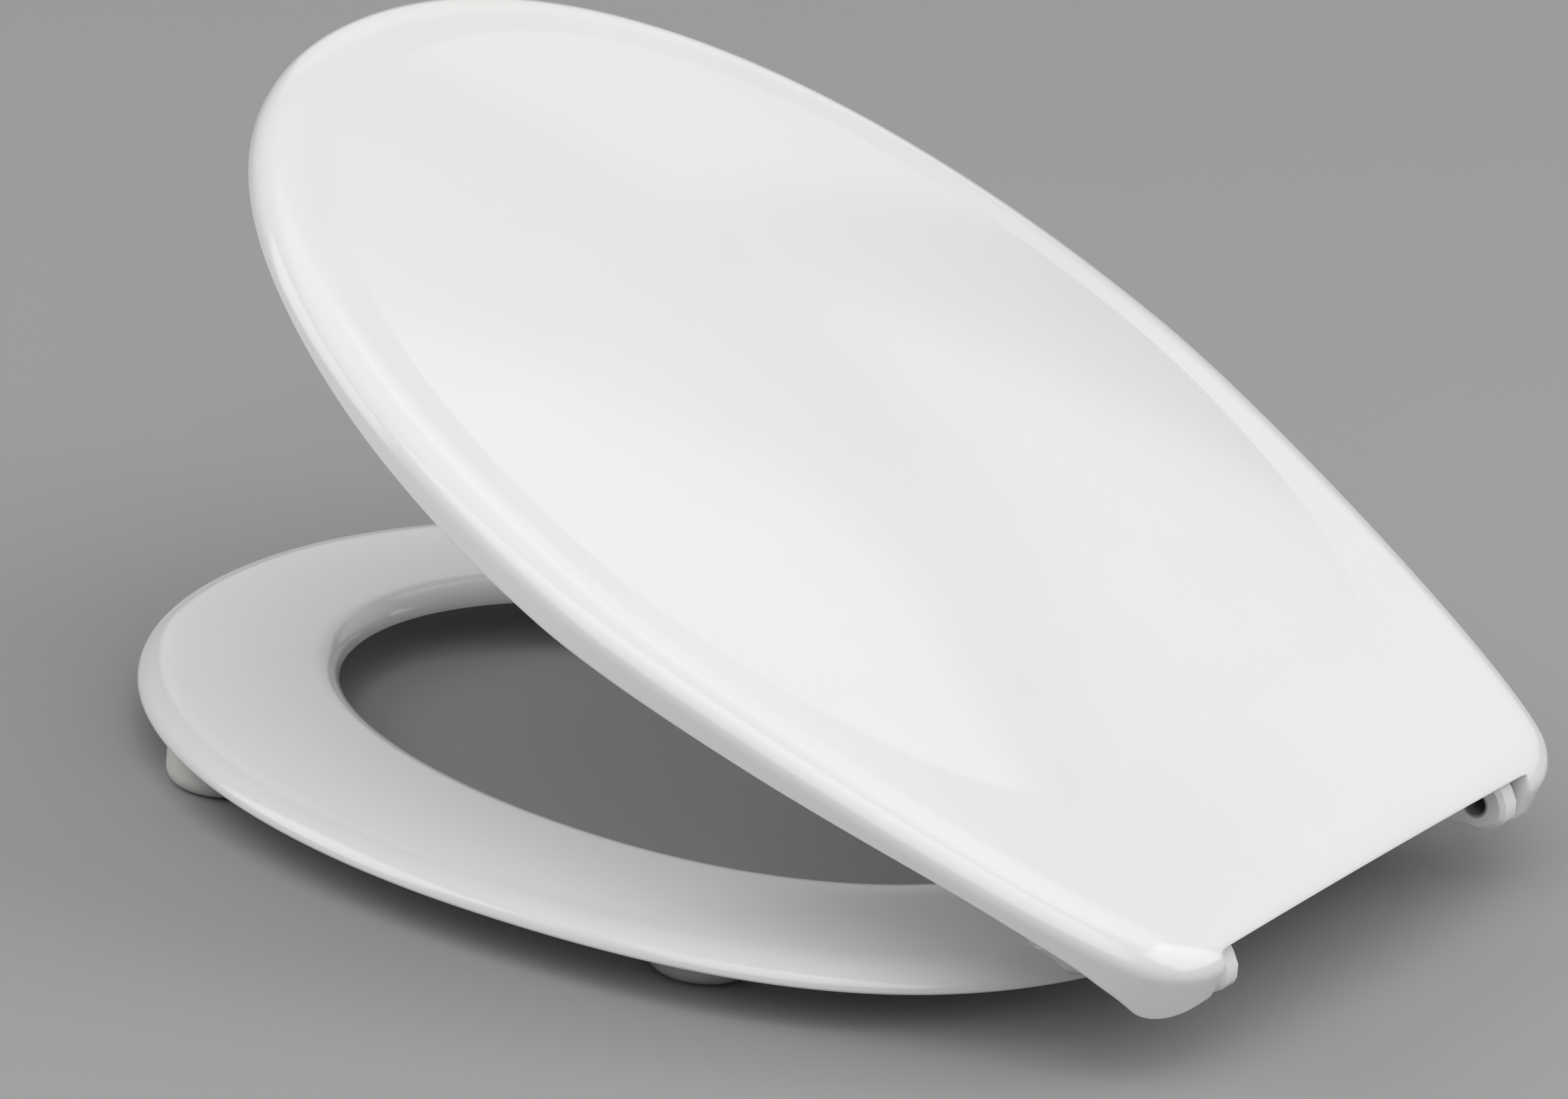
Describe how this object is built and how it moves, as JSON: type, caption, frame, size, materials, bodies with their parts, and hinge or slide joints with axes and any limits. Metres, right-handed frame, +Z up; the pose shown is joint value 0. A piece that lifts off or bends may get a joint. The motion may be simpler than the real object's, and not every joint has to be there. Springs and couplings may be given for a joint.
{
  "type": "toilet seat",
  "caption": "White moulded toilet seat: a low crowned ring on soft buffers with a crowned lid that turns on bushes in the ring's rear lugs.",
  "frame": {"origin": "middle of the bounding box's base, on the plane that the seat buffers rest on", "axes": "+X across the seat, +Y from the front of the ring back to the hinge, +Z up"},
  "size_m": [0.372, 0.4432, 0.2263],
  "materials": {
    "thermoset": "gloss moulded thermoset",
    "buffer": "satin elastomer",
    "bush": "satin moulded plastic"
  },
  "bodies": {
    "seat": {"seat_ring": "thermoset", "hinge_bush_left": "bush", "hinge_bush_right": "bush", "seat_buffer_front_left": "buffer", "seat_buffer_front_right": "buffer", "seat_buffer_rear_left": "buffer", "seat_buffer_rear_right": "buffer"},
    "lid": {"lid": "thermoset", "lid_buffer_left": "buffer", "lid_buffer_right": "buffer"}
  },
  "joints": [
    {"name": "lid_hinge", "type": "hinge", "parent": "seat", "child": "lid", "pos_m": [0, 0.2102, 0.0326], "axis": [-1, 0, 0], "range_deg": [-26.2, 80]}
  ]
}
